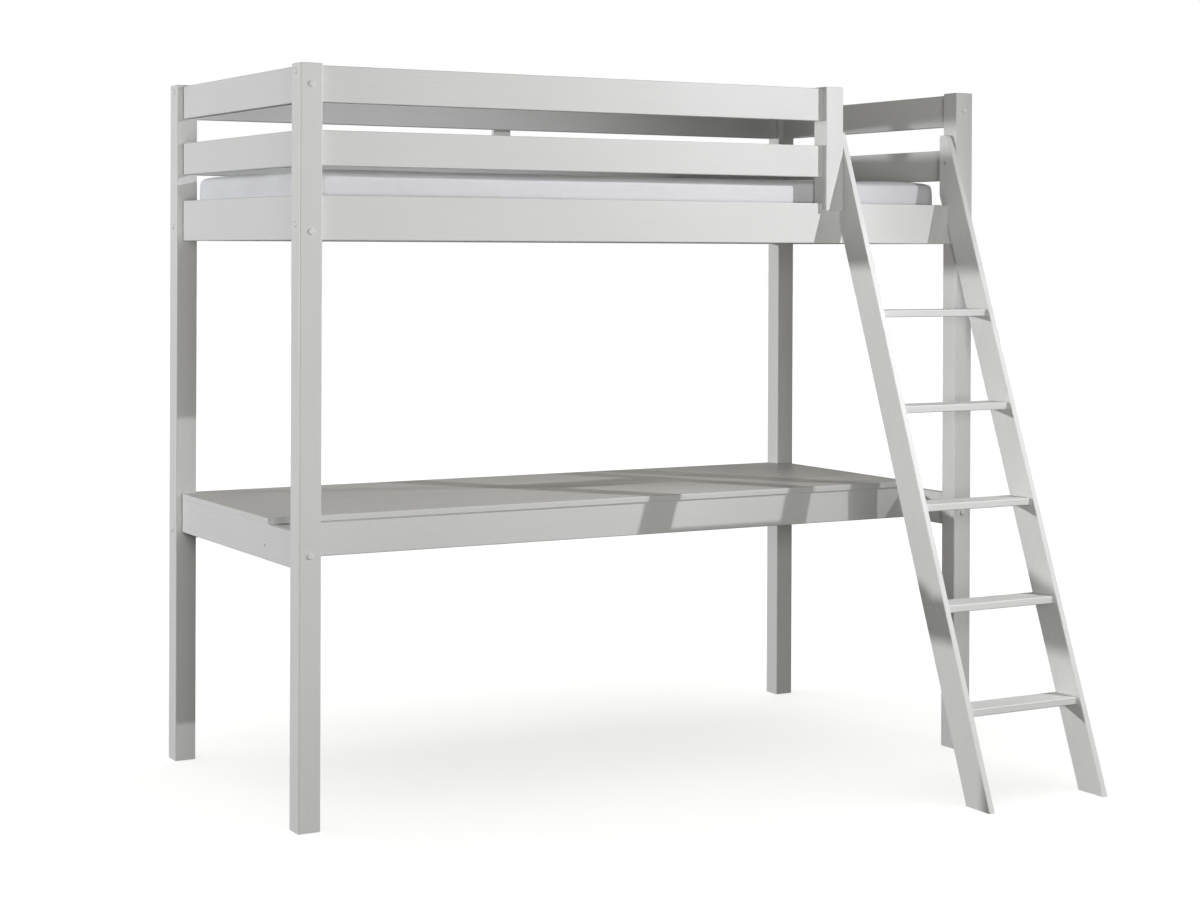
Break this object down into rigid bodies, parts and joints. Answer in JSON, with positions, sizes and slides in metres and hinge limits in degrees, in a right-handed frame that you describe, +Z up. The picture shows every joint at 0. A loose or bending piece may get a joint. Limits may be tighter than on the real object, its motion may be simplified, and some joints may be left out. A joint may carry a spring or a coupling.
{
  "type": "loft bed with desk",
  "caption": "Raised single bed on square posts, with guard rails, a slatted base and mattress, a long fixed desk below and a leaning side ladder.",
  "frame": {"origin": "on the floor, at the middle of the whole footprint, with the ladder's reach counted in", "axes": "+X along the bed's length towards the ladder's end, +Y towards the rear guard rails, +Z up"},
  "size_m": [2.101, 1.6536, 1.91],
  "materials": {
    "painted_pine": "satin white paint, the grain showing through",
    "painted_board": "satin white paint on a smooth board",
    "bare_pine": "planed and unpainted",
    "beech": "plain",
    "zinc_steel": "bright zinc plate",
    "white_plastic": "satin",
    "webbing": "woven band",
    "mattress_cover": "woven white cover"
  },
  "bodies": {
    "bed_frame": {"barrel_nuts": "zinc_steel", "batten_screws": "zinc_steel", "bed_rail_front": "painted_pine", "bed_rail_left": "painted_pine", "bed_rail_rear": "painted_pine", "bed_rail_right": "painted_pine", "bolt_caps": "white_plastic", "desk_end_left": "painted_pine", "desk_end_right": "painted_pine", "desk_rail_front": "painted_pine", "desk_rail_rear": "painted_pine", "desk_top": "painted_board", "desk_top_screws": "zinc_steel", "frame_bolts": "zinc_steel", "guard_batten_rear": "painted_pine", "guard_post_short": "painted_pine", "guard_rail_front_middle": "painted_pine", "guard_rail_front_upper": "painted_pine", "guard_rail_left_middle": "painted_pine", "guard_rail_left_upper": "painted_pine", "guard_rail_rear_middle": "painted_pine", "guard_rail_rear_upper": "painted_pine", "guard_rail_right_middle": "painted_pine", "guard_rail_right_upper": "painted_pine", "ladder_bolt_inserts": "zinc_steel", "ladder_bolts": "zinc_steel", "ladder_screw_plugs": "white_plastic", "ladder_stringer_left": "painted_pine", "ladder_stringer_right": "painted_pine", "ladder_tread_1": "painted_pine", "ladder_tread_2": "painted_pine", "ladder_tread_3": "painted_pine", "ladder_tread_4": "painted_pine", "ladder_tread_5": "painted_pine", "ladder_tread_screws": "zinc_steel", "ledger_screws": "zinc_steel", "post_front_left": "painted_pine", "post_front_right": "painted_pine", "post_rear_left": "painted_pine", "post_rear_right": "painted_pine", "short_post_screws": "zinc_steel", "slat_ledger_front": "bare_pine", "slat_ledger_rear": "bare_pine", "slat_screws": "zinc_steel", "slat_webbing": "webbing", "slats": "bare_pine", "wood_dowels": "beech"},
    "mattress": {"mattress": "mattress_cover"}
  },
  "joints": [
    {"name": "mattress_lift", "type": "slide", "parent": "bed_frame", "child": "mattress", "axis": [0, 0, 1], "range_m": [0, 0.4]}
  ]
}
